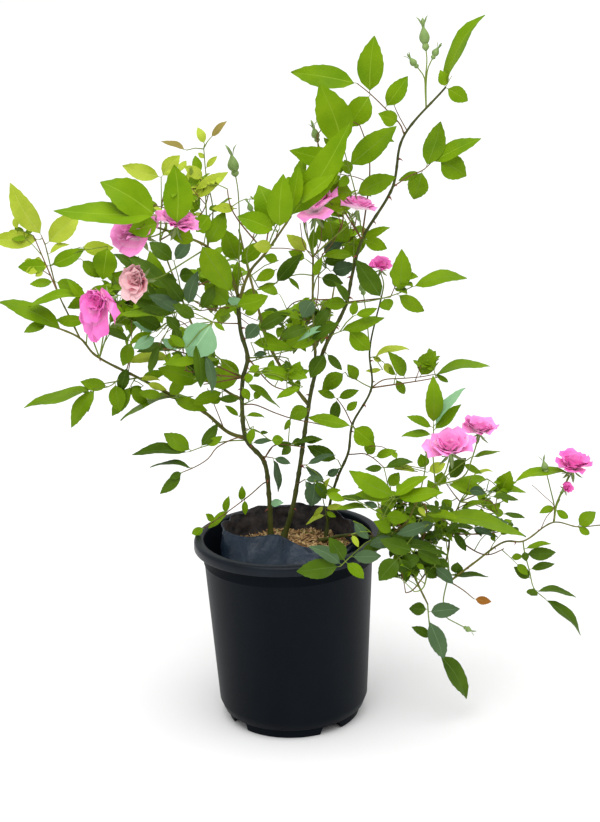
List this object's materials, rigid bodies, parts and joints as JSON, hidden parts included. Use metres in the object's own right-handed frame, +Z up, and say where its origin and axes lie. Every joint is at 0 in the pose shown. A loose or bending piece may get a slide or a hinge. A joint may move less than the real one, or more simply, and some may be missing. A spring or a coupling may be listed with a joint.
{
  "type": "rose bush in a nursery pot",
  "caption": "Young open rose bush with thin thorny canes, leafy sprays and pink blooms, in a round black nursery pot with a film grow bag.",
  "frame": {"origin": "centre of the pot's flat underside", "axes": "+Z up, -Y towards the front of the bush, +X to its right as seen from the front"},
  "size_m": [0.6201, 0.3341, 0.7312],
  "materials": {
    "pot": "moulded black polypropylene, satin, with a glossier rolled lip and fine scuffs",
    "grow_bag": "thin blue-black film, creased, dusty grey-brown inside",
    "husk": "damp potting mix topped with pale tan husk chips and a little moss",
    "bark": "smooth green cane bark, browner on the older boughs, with hooked thorns",
    "foliage": "satin green rose leaflets, yellow-green at the young tips",
    "petals": "soft ruffled pink petals, paler towards the base",
    "buds": "downy grey-green sepals and bud stalks"
  },
  "bodies": {
    "root": {"bough_back": "bark", "bough_bloom": "bark", "bough_cross": "bark", "bough_far": "bark", "bough_left_inner": "bark", "bough_left_long": "bark", "bough_left_shoot": "bark", "bough_left_top": "bark", "bough_low_bloom": "bark", "bough_low_up": "bark", "bough_mid": "bark", "bough_weep": "bark", "cane_left": "bark", "cane_low": "bark", "cane_right": "bark", "cane_tall": "bark", "grow_bag": "grow_bag", "husk": "husk", "pot": "pot", "spray_back_high": "foliage", "spray_back_low": "foliage", "spray_bloom": "petals", "spray_core_low": "foliage", "spray_core_mid": "foliage", "spray_far_bloom": "petals", "spray_far_drop": "foliage", "spray_front_rim": "foliage", "spray_inner_back": "foliage", "spray_inner_high": "foliage", "spray_inner_low": "foliage", "spray_left_bloom": "petals", "spray_left_core": "foliage", "spray_left_crown": "foliage", "spray_left_end": "foliage", "spray_left_long": "foliage", "spray_left_near": "foliage", "spray_left_tip": "foliage", "spray_low_bloom": "petals", "spray_low_dense": "foliage", "spray_low_drop": "foliage", "spray_low_leaf": "foliage", "spray_low_left": "foliage", "spray_low_long": "foliage", "spray_low_right": "foliage", "spray_low_under": "foliage", "spray_mid": "foliage", "spray_near_mid": "foliage", "spray_pot_edge": "foliage", "spray_right_curl": "foliage", "spray_right_low": "foliage", "spray_right_mid": "foliage", "spray_shoot": "foliage", "spray_stem": "foliage", "spray_top_buds": "buds", "spray_top_leaf": "foliage", "spray_top_left": "foliage", "spray_top_tip": "foliage", "spray_upper_mid": "foliage", "spray_upper_right": "foliage", "spray_weep": "foliage"}
  },
  "joints": []
}
